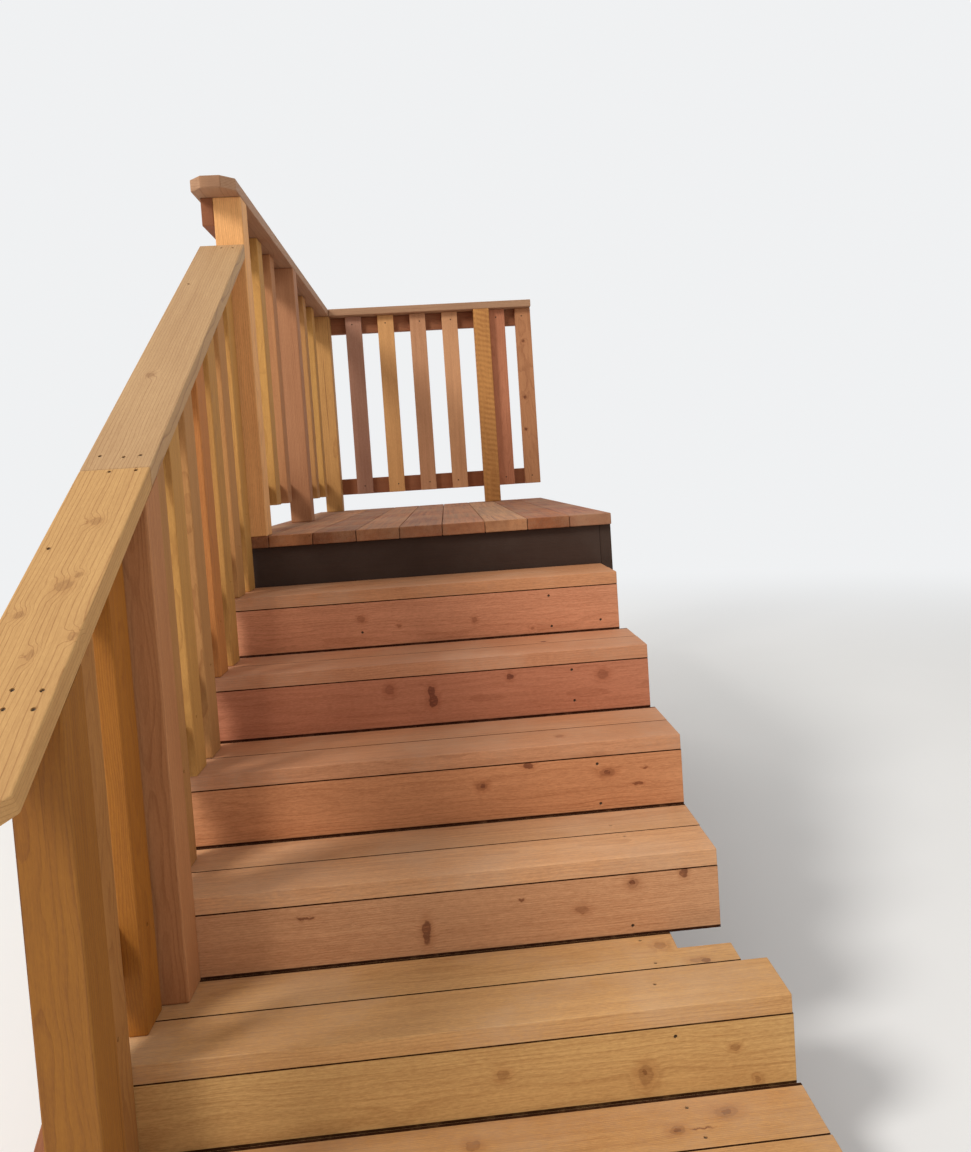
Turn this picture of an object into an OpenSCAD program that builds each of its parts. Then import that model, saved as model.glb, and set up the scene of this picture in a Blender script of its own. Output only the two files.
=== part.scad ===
// Wooden deck stairs: six plank treads with riser boards climb to a raised
// landing. A sloping railing follows the left side of the steps, and a level
// railing closes the left and the back of the landing. The right side is open.
// Units are millimetres. Z is up, Y runs from the foot of the steps to the
// landing, X runs from the railing to the right side. The ground is Z = 0.

/* [Boards] */

// Thickness of all the boards
board_t = 38; // [34:1:42]

// Width of the tread, riser, deck and cap boards
board_w = 140; // [132:1:148]

// Width of the rails and of the balusters
rail_w = 89; // [76:1:96]

// Side of the square posts
post_w = 89; // [82:1:96]

// Width of the boards that the stringers are cut from
stringer_w = 286; // [265:1:300]

// Width of the boards that frame the landing
frame_w = 235; // [210:1:250]

/* [Steps] */

// Gap between the two boards of a tread
tread_gap = 3; // [1:0.5:6]

// Gap in the joint between a riser board and the tread below it
riser_gap = 0.5; // [0.5:0.5:6]

// Height of the landing deck above the top tread
deck_rise = 169; // [160:1:182]

// Reach of the treads from the inner side of the posts to their right ends
tread_reach = 1136; // [1080:2:1136]

// Length of the treads past the outer side of the posts
tread_past_post = 13; // [5:1:25]

// Extra length of the front board and riser of the second step
second_step_extra = 56; // [20:1:80]

// Extra length of the bottom step
first_step_extra = 66; // [20:1:90]

// Length of the corner cut out of the second tread
notch_length = 117; // [70:1:150]

// Depth of the corner cut out of the second tread
notch_depth = 70; // [40:1:90]

// Distance that the fifth step stops short of the others on the right
fifth_step_short = 14; // [2:1:30]

// Distance that the top step stops short of the others on the right
top_step_short = 39; // [10:1:60]

// Clearance between the corner cut out of the second tread and the right stringer
notch_clear = 8; // [4:1:30]

/* [Landing] */

// Length of the deck boards
landing_depth = 2336; // [2200:8:2440]

// Gap between the deck boards
deck_gap = 2; // [1:0.5:3.5]

// Overhang of the deck boards past the framing at the left and the back
deck_overhang = 15; // [5:1:25]

// Overhang of the deck boards past the front of the framing
front_overhang = 24; // [10:1:45]

/* [Railings] */

// Height of the landing railing above the deck
guard_height = 1130; // [1100:2:1160]

// Height of the stair railing above the line of the step edges
stair_guard_height = 947; // [920:1:980]

// Clearance between the landing bottom rail and the deck
landing_rail_clear = 90; // [75:5:120]

// Clearance between the stair bottom rail and the line of the step edges
stair_rail_clear = 60; // [40:5:90]

// Overhang of the landing cap past the front of the corner post
cap_overhang = 100; // [80:1:130]

// Overhang of the stair cap past the front of the lower post
stair_cap_overhang = 212; // [180:2:250]

// Size of the clipped corners on the cap ends
cap_clip = 40; // [20:1:50]

// Gap in the joints between cap boards
joint_gap = 1; // [0.5:0.5:3]

// Distance from the edge of the bottom step back to the lower post
lower_post_setback = 5; // [2:1:30]

// Gap between a post and the baluster beside it
baluster_gap = 5; // [2:1:12]

// Distance between the fronts of the stair balusters above the upper post
baluster_pitch = 147; // [130:1:150]

// Gap between the upper post and the first baluster below it
lower_baluster_gap = 13; // [5:1:20]

// Distance between the fronts of the two balusters below the upper post
lower_baluster_pitch = 182; // [150:1:195]

// Distance from the front of the corner post to the front of the middle post
middle_post_reach = 1020; // [950:5:1100]

// Distance between the edges of the back balusters
back_pitch = 181; // [170:1:188]

// Gap between the back corner post and the first back baluster
back_first_gap = 85; // [60:1:92]

// Distance from the back corner post to the post in the back railing
back_post_x = 808; // [785:1:830]

// Length of the back railing from the back corner post
back_rail_reach = 1136; // [1120:1:1136]

/* [Hidden] */

steps = 6;
deck_boards = 9;
joists = 5;
bay_balusters = 3;
stair_balusters_upper = 7;
stair_balusters_lower = 2;
back_balusters = 4;

// Step sizes that follow from the boards
rise = board_t + board_w + riser_gap;
going = 2 * board_w + tread_gap;
slope = atan(rise / going);
top_z = steps * rise;
deck_z = top_z + deck_rise;

// Front edge and top of a step; the top step's front edge is at Y = 0
function step_front(k) = (k - steps) * going;
function step_top(k) = k * rise;

// Highest tread under a point along the steps
function tread_under(y) = step_top(steps + floor(y / going));

// Line through the front edges of the treads
function edge_line(y) = top_z + y * rise / going;

// Across the stairs, with X = 0 at the inner side of the posts
tread_left = -post_w - tread_past_post;
rail_x = -post_w - board_t;
cap_x = -board_w;
deck_left = cap_x;
deck_reach = deck_left + deck_boards * board_w + (deck_boards - 1) * deck_gap;
rim_left = deck_left + deck_overhang;
rim_right = deck_reach - board_t;

// Along the landing
deck_front = going - front_overhang;
deck_back = deck_front + landing_depth;
rim_front = going;
rim_back = deck_back - deck_overhang;
corner_y = deck_front;
back_post_y = rim_back - post_w;
mid_post_y = corner_y + middle_post_reach;
cap_back = rim_back + board_w - post_w;

// Heights on the landing
rim_top = deck_z - board_t;
rim_bottom = rim_top - frame_w;
cap_under = deck_z + guard_height - board_t;
landing_rail_low = deck_z + landing_rail_clear;

// Heights along the slope
plumb_t = board_t / cos(slope);
plumb_rail = rail_w / cos(slope);
function stair_cap_top(y) = edge_line(y) + stair_guard_height;
function stair_cap_under(y) = stair_cap_top(y) - plumb_t;

// Stair posts and the ends of the stair rails
lower_post_y = step_front(1) + lower_post_setback;
upper_post_y = step_front(3) - post_w;
rail_lap = (post_w - joint_gap) / 2;
cap_low_y = lower_post_y - stair_cap_overhang;
cap_joint_y = upper_post_y + post_w / 2;

// Stringers
throat = stringer_w - rise * cos(slope);
stringer_left_x = -post_w;
stringer_right_x = tread_reach - notch_length - notch_clear - board_t;
stringer_middle_x = (stringer_left_x + stringer_right_x) / 2;

// Spacing of the landing balusters between two posts
function bay_gap(from, to) = (to - from - bay_balusters * rail_w) / (bay_balusters + 1);

joist_pitch = (rim_back - rim_front - board_t) / (joists + 1);

// The whole is centred over the ground point of the origin
x_max = tread_reach + max(first_step_extra, second_step_extra, deck_reach - tread_reach);
x_min = min(deck_left, cap_x);
shift_x = -(x_min + x_max) / 2;
shift_y = -(cap_low_y + cap_back) / 2;

module placed() {
    translate([shift_x, shift_y, 0])
        children();
}

module block(from, size) {
    translate(from)
        cube(size);
}

// A board lying in the Y-Z plane, given by its outline there
module profile(x, width, outline) {
    translate([x, 0, 0])
        rotate([90, 0, 90])
            linear_extrude(height = width)
                polygon(outline);
}

// Steps

module stringer(x) {
    cut_t = board_t;
    under = throat / cos(slope);
    inner_z = top_z - cut_t;
    heel_y = going + cut_t + (under - inner_z) * going / rise;
    end_low = inner_z - cut_t * rise / going - under;
    teeth = [
        for (k = [1:steps])
            each [
                [step_front(k) + cut_t, step_top(k) - cut_t],
                [k == steps ? rim_front : step_front(k + 1) + cut_t, step_top(k) - cut_t]
            ]
    ];
    outline = concat(
        [[step_front(1) + cut_t, 0]],
        teeth,
        [[rim_front, end_low]],
        [[heel_y, 0]]
    );
    color("saddlebrown")
        placed()
            profile(x, board_t, outline);
}

module stringer_left() {
    stringer(stringer_left_x);
}

module stringer_middle() {
    stringer(stringer_middle_x);
}

module stringer_right() {
    stringer(stringer_right_x);
}

module tread_board(k, back, reach) {
    y = step_front(k) + (back ? board_w + tread_gap : 0);
    block([tread_left, y, step_top(k) - board_t], [reach - tread_left, board_w, board_t]);
}

module tread(k, reach) {
    color("peru")
        placed() {
            tread_board(k, false, reach);
            tread_board(k, true, reach);
        }
}

module tread_1() {
    tread(1, tread_reach + first_step_extra);
}

module tread_2() {
    cut_over = 1;
    color("peru")
        placed() {
            tread_board(2, false, tread_reach + second_step_extra);
            difference() {
                tread_board(2, true, tread_reach);
                block(
                    [tread_reach - notch_length, step_front(3) - notch_depth, step_top(2) - board_t - cut_over],
                    [notch_length + cut_over, notch_depth + cut_over, board_t + 2 * cut_over]
                );
            }
        }
}

module tread_3() {
    tread(3, tread_reach);
}

module tread_4() {
    tread(4, tread_reach);
}

module tread_5() {
    tread(5, tread_reach - fifth_step_short);
}

module tread_6() {
    tread(6, tread_reach - top_step_short);
}

module riser(k, reach) {
    color("sienna")
        placed()
            block(
                [tread_left, step_front(k), step_top(k) - board_t - board_w],
                [reach - tread_left, board_t, board_w]
            );
}

module riser_1() {
    riser(1, tread_reach + first_step_extra);
}

module riser_2() {
    riser(2, tread_reach + second_step_extra);
}

module riser_3() {
    riser(3, tread_reach);
}

module riser_4() {
    riser(4, tread_reach);
}

module riser_5() {
    riser(5, tread_reach - fifth_step_short);
}

module riser_6() {
    riser(6, tread_reach - top_step_short);
}

// Landing

module cross_rim(y) {
    placed()
        block([rim_left, y, rim_bottom], [rim_right - rim_left, board_t, frame_w]);
}

module front_rim() {
    color("dimgray")
        cross_rim(rim_front);
}

module back_rim() {
    color("dimgray")
        cross_rim(rim_back - board_t);
}

module left_rim() {
    color("dimgray")
        placed()
            block(
                [rim_left, rim_front + board_t, rim_bottom],
                [board_t, rim_back - rim_front - 2 * board_t, frame_w]
            );
}

module right_rim() {
    color("dimgray")
        placed()
            block([rim_right, rim_front, rim_bottom], [board_t, rim_back - rim_front, frame_w]);
}

module landing_joists() {
    color("dimgray")
        placed()
            for (i = [1:joists])
                block(
                    [rim_left + board_t, rim_front + i * joist_pitch, rim_bottom],
                    [rim_right - rim_left - board_t, board_t, frame_w]
                );
}

module leg(x, y) {
    color("saddlebrown")
        placed()
            block([x, y, 0], [post_w, post_w, rim_bottom]);
}

module leg_front_left() {
    leg(rim_left, rim_front);
}

module leg_front_right() {
    leg(deck_reach - post_w, rim_front);
}

module leg_back_left() {
    leg(rim_left, rim_back - post_w);
}

module leg_back_right() {
    leg(deck_reach - post_w, rim_back - post_w);
}

module landing_deck() {
    color("rosybrown")
        placed()
            for (i = [0:deck_boards - 1])
                block(
                    [deck_left + i * (board_w + deck_gap), deck_front, rim_top],
                    [board_w, landing_depth, board_t]
                );
}

// Posts

module stair_post(y) {
    outline = [
        [y, tread_under(y)],
        [y + post_w, tread_under(y)],
        [y + post_w, stair_cap_under(y + post_w)],
        [y, stair_cap_under(y)]
    ];
    color("chocolate")
        placed()
            profile(-post_w, post_w, outline);
}

module stair_post_lower() {
    stair_post(lower_post_y);
}

module stair_post_upper() {
    stair_post(upper_post_y);
}

module landing_post(x, y) {
    color("chocolate")
        placed()
            block([x, y, deck_z], [post_w, post_w, cap_under - deck_z]);
}

module corner_post() {
    landing_post(-post_w, corner_y);
}

module landing_mid_post() {
    landing_post(-post_w, mid_post_y);
}

module back_corner_post() {
    landing_post(-post_w, back_post_y);
}

module back_rail_post() {
    landing_post(back_post_x, back_post_y);
}

// Stair railing

module sloping_board(x, width, y_low, y_high, over_edge, plumb) {
    outline = [
        [y_low, edge_line(y_low) + over_edge],
        [y_high, edge_line(y_high) + over_edge],
        [y_high, edge_line(y_high) + over_edge + plumb],
        [y_low, edge_line(y_low) + over_edge + plumb]
    ];
    profile(x, width, outline);
}

module stair_top_rail() {
    color("chocolate")
        placed()
            sloping_board(rail_x, board_t, lower_post_y, corner_y + rail_lap,
                stair_guard_height - plumb_t - plumb_rail, plumb_rail);
}

module stair_bottom_rail() {
    color("chocolate")
        placed()
            sloping_board(rail_x, board_t, lower_post_y, corner_y + rail_lap,
                stair_rail_clear, plumb_rail);
}

module stair_baluster(y) {
    foot = tread_under(y + rail_w);
    outline = [
        [y, foot],
        [y + rail_w, foot],
        [y + rail_w, stair_cap_under(y + rail_w)],
        [y, stair_cap_under(y)]
    ];
    profile(-post_w, board_t, outline);
}

module stair_balusters() {
    color("goldenrod")
        placed() {
            for (i = [0:stair_balusters_upper - 1])
                stair_baluster(corner_y - baluster_gap - rail_w - i * baluster_pitch);
            for (i = [0:stair_balusters_lower - 1])
                stair_baluster(upper_post_y - lower_baluster_gap - rail_w - i * lower_baluster_pitch);
        }
}

// One clipped corner of the lower end of the stair cap
module stair_cap_clip(x, side) {
    deep = 2 * board_t;
    translate([x, cap_low_y, stair_cap_top(cap_low_y)])
        rotate([slope, 0, 0])
            translate([0, 0, -1.5 * board_t])
                linear_extrude(height = deep)
                    polygon([
                        [-side * board_t, -board_t],
                        [side * cap_clip, -board_t],
                        [side * cap_clip, 0],
                        [0, cap_clip],
                        [-side * board_t, cap_clip]
                    ]);
}

module stair_cap() {
    end_run = board_t * sin(slope);
    end_drop = board_t * cos(slope);
    low_z = stair_cap_top(cap_low_y);
    color("burlywood")
        placed() {
            difference() {
                profile(cap_x, board_w, [
                    [cap_low_y, low_z],
                    [cap_low_y + end_run, low_z - end_drop],
                    [cap_joint_y, stair_cap_under(cap_joint_y)],
                    [cap_joint_y, stair_cap_top(cap_joint_y)]
                ]);
                stair_cap_clip(cap_x, 1);
                stair_cap_clip(cap_x + board_w, -1);
            }
            sloping_board(cap_x, board_w, cap_joint_y + joint_gap, corner_y,
                stair_guard_height - plumb_t, plumb_t);
        }
}

// Landing railing

module landing_top_rail() {
    color("chocolate")
        placed()
            block([rail_x, corner_y, cap_under - rail_w], [board_t, rim_back - corner_y, rail_w]);
}

module landing_bottom_rail() {
    start = corner_y + rail_lap + joint_gap;
    color("chocolate")
        placed()
            block([rail_x, start, landing_rail_low], [board_t, rim_back - start, rail_w]);
}

module landing_baluster(y) {
    block([-post_w, y, landing_rail_low], [board_t, rail_w, cap_under - landing_rail_low]);
}

module bay_of_balusters(from, to) {
    pitch = rail_w + bay_gap(from, to);
    color("goldenrod")
        placed()
            for (i = [1:bay_balusters])
                landing_baluster(from - rail_w + i * pitch);
}

module front_bay_balusters() {
    bay_of_balusters(corner_y + post_w, mid_post_y);
}

module back_bay_balusters() {
    bay_of_balusters(mid_post_y + post_w, back_post_y);
}

module landing_cap() {
    front = corner_y - cap_overhang;
    color("burlywood")
        placed()
            translate([0, 0, cap_under])
                linear_extrude(height = board_t)
                    polygon([
                        [cap_x + cap_clip, front],
                        [cap_x + board_w - cap_clip, front],
                        [cap_x + board_w, front + cap_clip],
                        [cap_x + board_w, cap_back],
                        [cap_x, cap_back],
                        [cap_x, front + cap_clip]
                    ]);
}

// Back railing

module back_rail(z) {
    color("chocolate")
        placed()
            block([rail_x, rim_back, z], [back_rail_reach - rail_x, board_t, rail_w]);
}

module back_top_rail() {
    back_rail(cap_under - rail_w);
}

module back_bottom_rail() {
    back_rail(landing_rail_low);
}

module back_baluster(x) {
    block([x, rim_back - board_t, landing_rail_low], [rail_w, board_t, cap_under - landing_rail_low]);
}

module back_balusters_set() {
    color("goldenrod")
        placed() {
            for (i = [0:back_balusters - 1])
                back_baluster(back_first_gap + i * back_pitch);
            back_baluster(back_post_x + post_w + joint_gap);
            back_baluster(back_rail_reach - rail_w);
        }
}

module back_cap() {
    color("burlywood")
        placed()
            block(
                [joint_gap, back_post_y, cap_under],
                [back_rail_reach - joint_gap, cap_back - back_post_y, board_t]
            );
}

stringer_left();
stringer_middle();
stringer_right();
tread_1();
tread_2();
tread_3();
tread_4();
tread_5();
tread_6();
riser_1();
riser_2();
riser_3();
riser_4();
riser_5();
riser_6();
front_rim();
back_rim();
left_rim();
right_rim();
landing_joists();
leg_front_left();
leg_front_right();
leg_back_left();
leg_back_right();
landing_deck();
stair_post_lower();
stair_post_upper();
corner_post();
landing_mid_post();
back_corner_post();
back_rail_post();
stair_top_rail();
stair_bottom_rail();
stair_balusters();
stair_cap();
landing_top_rail();
landing_bottom_rail();
landing_cap();
front_bay_balusters();
back_bay_balusters();
back_top_rail();
back_bottom_rail();
back_balusters_set();
back_cap();
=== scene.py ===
"""Looks for the wooden deck stairs. Every board gets eased edges and a grain of its own, and many
get screws.
"""

import math
import random

import bmesh
import bpy
from mathutils import Matrix, Vector


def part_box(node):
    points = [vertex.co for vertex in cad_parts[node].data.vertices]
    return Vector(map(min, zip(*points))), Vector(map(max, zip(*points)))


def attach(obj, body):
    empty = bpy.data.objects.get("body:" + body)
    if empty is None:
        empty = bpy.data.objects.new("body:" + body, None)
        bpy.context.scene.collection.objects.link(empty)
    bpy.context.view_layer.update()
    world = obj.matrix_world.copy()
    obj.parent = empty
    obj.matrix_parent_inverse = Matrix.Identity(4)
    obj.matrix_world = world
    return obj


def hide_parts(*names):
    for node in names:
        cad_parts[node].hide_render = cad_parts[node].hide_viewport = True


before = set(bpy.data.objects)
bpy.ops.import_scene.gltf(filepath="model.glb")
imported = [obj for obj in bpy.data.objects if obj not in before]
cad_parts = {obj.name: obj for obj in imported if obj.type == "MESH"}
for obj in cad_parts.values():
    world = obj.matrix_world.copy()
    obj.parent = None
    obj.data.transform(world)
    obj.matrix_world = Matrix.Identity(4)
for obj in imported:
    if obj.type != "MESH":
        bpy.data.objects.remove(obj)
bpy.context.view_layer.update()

# Camera, found from the edges of the steps. Its place is counted in metres from the
# inner side of the posts, the front edge of the top step and the ground.
CAMERA_PLACE = (0.594, -2.837, 1.394)
CAMERA_YAW = math.radians(4.344)
CAMERA_PITCH = math.radians(-3.247)
CAMERA_ROLL = math.radians(-3.679)
PHOTO_WIDTH = 971
PHOTO_HEIGHT = 1152
FOCAL_PIXELS = 932.7
CENTRE_PIXEL = (520.5, 525.5)
SENSOR_WIDTH = 36.0
FARTHEST_SEEN = 200.0

# Edges of the boards
EASED_EDGE = 0.003
POST_EASED_EDGE = 0.004
STEP_EASED_EDGE = 0.0018
EDGE_STEPS = 2
EASED_ANGLE = math.radians(25)
END_PLAY = 0.0025
RISER_DROP = 0.0009

# How closely points, planes, edges and directions have to agree
WELD = 1e-5
SAME_PLANE = 1e-4
SAME_EDGE = 1e-3
FLAT_ANGLE = math.radians(1)
SIDE_FACING = 0.1
SAWN_END_FACING = 0.75

# Screws
HOLE_RADIUS = 0.0042
HOLE_DEPTH = 0.0042
HOLE_BOTTOM = 0.8
HOLE_MOUTH = 1.15
HEAD_RADIUS = 0.0036
HEAD_DEPTH = 0.0018
HEAD_TAPER = 0.6
DRIVE_RADIUS = 0.0016
DRIVE_DEPTH = 0.6 * HEAD_DEPTH
SCREW_SIDES = 14
SCREW_EDGE = 0.026
SCREW_PLAY = 0.006
BALUSTER_SCREW_PLAY = 0.012
NAIL_STEP = 0.075
CORNER_CLEAR = 0.09

# Splinters that the screws tore up in the stair cap
SPLINTER_LENGTH = (0.008, 0.018)
SPLINTER_WIDTH = (0.0012, 0.0024)
SPLINTER_HEIGHT = (0.0006, 0.0013)
SPLINTER_SINK = 0.0003
SPLINTER_BEND = 0.002
SPLINTERS_AT_SCREW = (2, 3)

# Where splinters start, counted in hole radii: on which sides, how far aside and how far ahead
SPLINTER_SIDES = (-1, -0.4, 0.5, 1)
SPLINTER_ASIDE = 1.2
SPLINTER_AHEAD = 0.4

# Where a board lay in its log, in metres: along it, and then where the heart was, across
# and through the board
LOG_LENGTH = 60
FLAT_SAWN_HEART = ((-0.05, 0.05), (0.06, 0.15))
QUARTER_SAWN_HEART = ((0.12, 0.2), (-0.08, 0.08))

# Number of steps in the flight
STEPS = 6


def low(node):
    return Vector(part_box(node)[0])


def high(node):
    return Vector(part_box(node)[1])


def middle(node):
    return (low(node) + high(node)) / 2


# Sizes and directions taken from the frame
ORIGIN = Vector((high("corner_post").x, low("tread_6").y, 0.0))
RISE = high("tread_2").z - high("tread_1").z
GOING = low("tread_2").y - low("tread_1").y
BOARD = high("tread_6").z - low("tread_6").z
OFF_SLOPE = Vector((0.0, -RISE, GOING)).normalized()
UP = Vector((0.0, 0.0, 1.0))
FRONT = Vector((0.0, -1.0, 0.0))
BACK = Vector((0.0, 1.0, 0.0))
LEFT = Vector((-1.0, 0.0, 0.0))
RIGHT = Vector((1.0, 0.0, 0.0))


def at(x, y, z):
    """A place counted from the posts' inner side, the top step's edge and the ground."""
    return ORIGIN + Vector((x, y, z))


def rgb(r, g, b):
    """A display colour of 0 to 255 as the linear colour that a shader takes."""

    def linear(v):
        v /= 255
        return v / 12.92 if v <= 0.04045 else ((v + 0.055) / 1.055) ** 2.4

    return (linear(r), linear(g), linear(b), 1.0)


# Boards


def solids_of(node):
    """The separate solids of a CAD node, each as its own bmesh, sorted by place."""
    whole = bmesh.new()
    whole.from_mesh(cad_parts[node].data)
    bmesh.ops.remove_doubles(whole, verts=whole.verts, dist=WELD)
    bmesh.ops.dissolve_limit(whole, angle_limit=FLAT_ANGLE, verts=whole.verts, edges=whole.edges)
    left = set(whole.verts)
    found = []
    while left:
        group, queue = set(), [next(iter(left))]
        while queue:
            vert = queue.pop()
            if vert not in group:
                group.add(vert)
                queue += [e.other_vert(vert) for e in vert.link_edges]
        left -= group
        part = bmesh.new()
        copies = {v: part.verts.new(v.co) for v in sorted(group, key=lambda v: v.index)}
        for face in whole.faces:
            if face.verts[0] in group:
                part.faces.new([copies[v] for v in face.verts])
        part.normal_update()
        found.append(part)
    whole.free()
    return sorted(found, key=lambda b: tuple(round(x, 3) for x in centre_of(b)))


def centre_of(solid):
    lowest = Vector((min(v.co[i] for v in solid.verts) for i in range(3)))
    highest = Vector((max(v.co[i] for v in solid.verts) for i in range(3)))
    return (lowest + highest) / 2


def board_axes(solid):
    """Directions along the grain, across the board and through it."""

    def positive(axis):
        return -axis if axis[max(range(3), key=lambda i: abs(axis[i]))] < 0 else axis

    longest = max(solid.edges, key=lambda e: round(e.calc_length(), 4))
    along = positive((longest.verts[1].co - longest.verts[0].co).normalized())
    sides = [f for f in solid.faces if abs(f.normal.dot(along)) < SIDE_FACING]
    through = positive(max(sides, key=lambda f: round(f.calc_area(), 5)).normal.copy())
    return along, through.cross(along), through


def trim_ends(solid, along, rng):
    """Takes up to a few millimetres off each end, as boards cut by hand vary."""
    places = [v.co.dot(along) for v in solid.verts]
    for end, inward in ((min(places), 1), (max(places), -1)):
        cut = rng.uniform(0, END_PLAY)
        for vert in solid.verts:
            if abs(vert.co.dot(along) - end) < SAME_PLANE:
                vert.co += along * inward * cut


def lower_foot(solid, drop):
    """Lets the lower edge of a board down by a hair, so that no light comes under it."""
    foot = min(v.co.z for v in solid.verts)
    for vert in solid.verts:
        if vert.co.z < foot + SAME_PLANE:
            vert.co.z -= drop


def ease_edges(solid, amount, keep_sharp=None):
    """Rounds the edges of a board, except those that keep_sharp picks."""
    eased = [
        edge
        for edge in solid.edges
        if edge.calc_face_angle(0) > EASED_ANGLE and not (keep_sharp and keep_sharp(edge))
    ]
    bmesh.ops.bevel(
        solid,
        geom=eased,
        offset=amount,
        segments=EDGE_STEPS,
        profile=0.5,
        affect="EDGES",
        clamp_overlap=True,
    )


def object_from(solid, name):
    mesh = bpy.data.meshes.new(name)
    solid.to_mesh(mesh)
    obj = bpy.data.objects.new(name, mesh)
    bpy.context.scene.collection.objects.link(obj)
    return obj


def turned(place, outward):
    turn = UP.rotation_difference(outward).to_matrix().to_4x4()
    return Matrix.Translation(place) @ turn


def drilled(mesh, screws):
    """The mesh with a shallow hole for each screw."""
    cutter = bmesh.new()
    for place, outward in screws:
        bmesh.ops.create_cone(
            cutter,
            cap_ends=True,
            segments=SCREW_SIDES,
            radius1=HOLE_RADIUS * HOLE_BOTTOM,
            radius2=HOLE_RADIUS * HOLE_MOUTH,
            depth=2 * HOLE_DEPTH,
            matrix=turned(place, outward),
        )
    tool = object_from(cutter, "drill")
    cutter.free()
    board = bpy.data.objects.new("undrilled", mesh)
    bpy.context.scene.collection.objects.link(board)
    cut = board.modifiers.new("cut", "BOOLEAN")
    cut.object = tool
    cut.operation = "DIFFERENCE"
    cut.solver = "EXACT"
    bpy.context.view_layer.update()
    depsgraph = bpy.context.evaluated_depsgraph_get()
    result = bpy.data.meshes.new_from_object(board.evaluated_get(depsgraph))
    for obj in (board, tool):
        bpy.data.objects.remove(obj)
    return result


def screw_heads(name, screws):
    """Sunk heads at the bottom of the holes, each with a round recess for the driver."""
    heads = bmesh.new()
    for place, outward in screws:
        top = place - outward * (HOLE_DEPTH - HEAD_DEPTH)
        made = bmesh.ops.create_cone(
            heads,
            cap_ends=True,
            segments=SCREW_SIDES,
            radius1=HEAD_RADIUS * HEAD_TAPER,
            radius2=HEAD_RADIUS,
            depth=HEAD_DEPTH,
            matrix=turned(top - outward * HEAD_DEPTH / 2, outward),
        )
        faces = {f for v in made["verts"] for f in v.link_faces if len(f.verts) == SCREW_SIDES}
        cap = max(faces, key=lambda f: f.calc_center_median().dot(outward))
        bmesh.ops.inset_region(heads, faces=[cap], thickness=HEAD_RADIUS - DRIVE_RADIUS)
        for vert in cap.verts:
            vert.co -= outward * DRIVE_DEPTH
    obj = object_from(heads, name)
    heads.free()
    obj.data.materials.append(SCREW_STEEL)
    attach(obj, "root")


def add_splinters(mesh, screws, along, rng):
    """Slivers of wood that stand up beside the screw holes, along the grain."""
    slivers = bmesh.new()
    slivers.from_mesh(mesh)
    for place, outward in screws:
        across = outward.cross(along)
        for side in rng.sample(SPLINTER_SIDES, rng.randint(*SPLINTERS_AT_SCREW)):
            length = rng.uniform(*SPLINTER_LENGTH)
            width = rng.uniform(*SPLINTER_WIDTH)
            height = rng.uniform(*SPLINTER_HEIGHT)
            way = along * rng.choice((-1, 1))
            start = across * side * SPLINTER_ASIDE + way * SPLINTER_AHEAD
            root = place + HOLE_RADIUS * start - outward * SPLINTER_SINK
            tip = root + way * length + across * rng.uniform(-SPLINTER_BEND, SPLINTER_BEND)
            half = across * width / 2
            corners = (root - half, root + half, root + outward * height, tip)
            a, b, c, d = [slivers.verts.new(corner) for corner in corners]
            for face in ((a, b, c), (a, c, d), (c, b, d), (b, a, d)):
                slivers.faces.new(face)
    bmesh.ops.recalc_face_normals(slivers, faces=slivers.faces)
    slivers.to_mesh(mesh)
    slivers.free()


def log_heart(rng):
    """Where the heart of the log lay, across and through the board: flat sawn or quarter sawn."""
    if rng.random() < 0.5:
        across, through = FLAT_SAWN_HEART
        return rng.uniform(*across), rng.choice((-1, 1)) * rng.uniform(*through)
    across, through = QUARTER_SAWN_HEART
    return rng.choice((-1, 1)) * rng.uniform(*across), rng.uniform(*through)


def set_grain(mesh, axes, centre, rng, colour, heart):
    """Stores where each point lies in the log, which faces are sawn ends, and the board's colour."""
    along, across, through = axes
    start = rng.uniform(0, LOG_LENGTH)
    wood_place = mesh.attributes.new("wood_place", "FLOAT_VECTOR", "POINT")
    for i, vert in enumerate(mesh.vertices):
        d = vert.co - centre
        wood_place.data[i].vector = (
            d.dot(along) + start,
            d.dot(across) + heart[0],
            d.dot(through) + heart[1],
        )
    tint = mesh.attributes.new("board_tint", "FLOAT_VECTOR", "POINT")
    for i in range(len(mesh.vertices)):
        tint.data[i].vector = colour[:3]
    end_grain = mesh.attributes.new("end_grain", "FLOAT", "FACE")
    for face in mesh.polygons:
        end_grain.data[face.index].value = float(abs(face.normal.dot(along)) > SAWN_END_FACING)


def make_node(
    node,
    material,
    colours,
    screws_for=None,
    edge=EASED_EDGE,
    trimmed=False,
    drop=0.0,
    keep_sharp=None,
    splintered=False,
    hearts=(),
):
    """One dressed piece that stands for a CAD node, made board by board."""
    rng = random.Random(node)
    merged = bmesh.new()
    all_screws = []
    for number, solid in enumerate(solids_of(node)):
        axes = board_axes(solid)
        centre = centre_of(solid)
        screws = screws_for(solid, rng) if screws_for else []
        if trimmed:
            trim_ends(solid, axes[0], rng)
        if drop:
            lower_foot(solid, drop)
        ease_edges(solid, edge, keep_sharp)
        mesh = bpy.data.meshes.new("board")
        solid.to_mesh(mesh)
        solid.free()
        if screws:
            mesh = drilled(mesh, screws)
            all_screws += screws
        if splintered:
            add_splinters(mesh, screws, axes[0], rng)
        heart = hearts[number] if hearts else log_heart(rng)
        set_grain(mesh, axes, centre, rng, colours(number, rng), heart)
        merged.from_mesh(mesh)
    piece = object_from(merged, f"{node}_wood")
    merged.free()
    piece.data.materials.append(material)
    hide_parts(node)
    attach(piece, "root")
    if all_screws:
        screw_heads(f"{node}_screws", all_screws)


# Materials


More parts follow.
